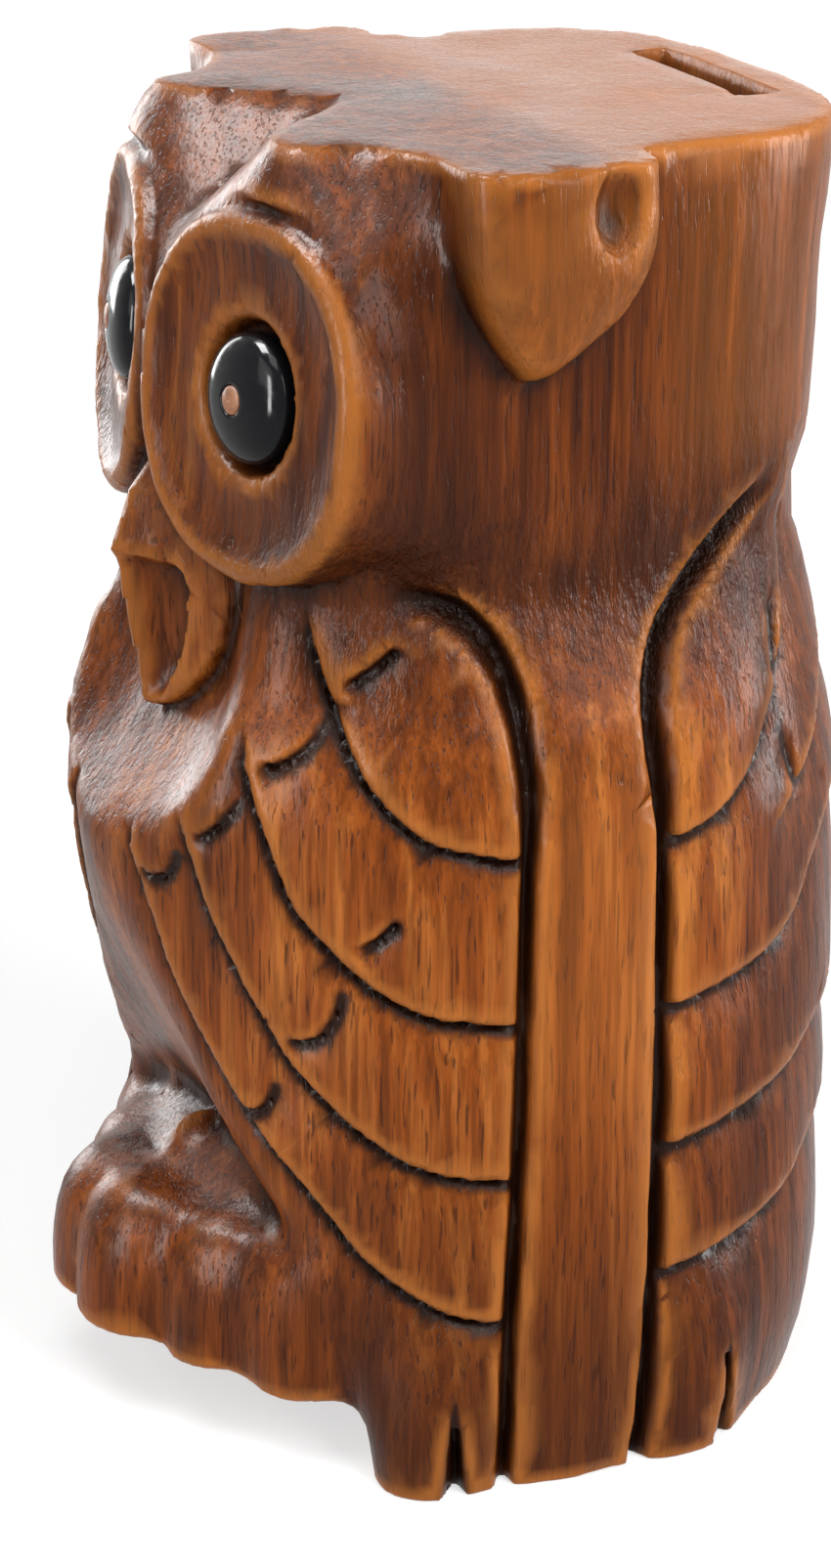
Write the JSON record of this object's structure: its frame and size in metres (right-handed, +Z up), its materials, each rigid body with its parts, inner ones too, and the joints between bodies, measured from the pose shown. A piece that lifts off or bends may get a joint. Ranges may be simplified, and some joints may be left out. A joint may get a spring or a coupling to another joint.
{
  "type": "money box",
  "caption": "Hollow wooden money box carved as a standing owl, with a coin slot in the top of the head and a rubber stopper underneath",
  "frame": {"origin": "on the ground, in the middle of the plan's bounding box", "axes": "+Z up along the standing owl, the face looks along -Y, the owl's left side is +X"},
  "size_m": [0.0934, 0.0988, 0.16],
  "materials": {
    "carved_wood": "satin",
    "plain_wood": "matte",
    "stopper_rubber": "matte",
    "eye_black": "gloss",
    "pin_wood": "satin"
  },
  "bodies": {
    "owl": {"carved_body": "carved_wood", "base_disc": "plain_wood", "left_eye_bead": "eye_black", "right_eye_bead": "eye_black", "left_eye_pin": "pin_wood", "right_eye_pin": "pin_wood"},
    "stopper": {"coin_stopper": "stopper_rubber"}
  },
  "joints": [
    {"name": "stopper_pull", "type": "slide", "parent": "owl", "child": "stopper", "axis": [0, 0, -1], "range_m": [0, 0.016]}
  ]
}
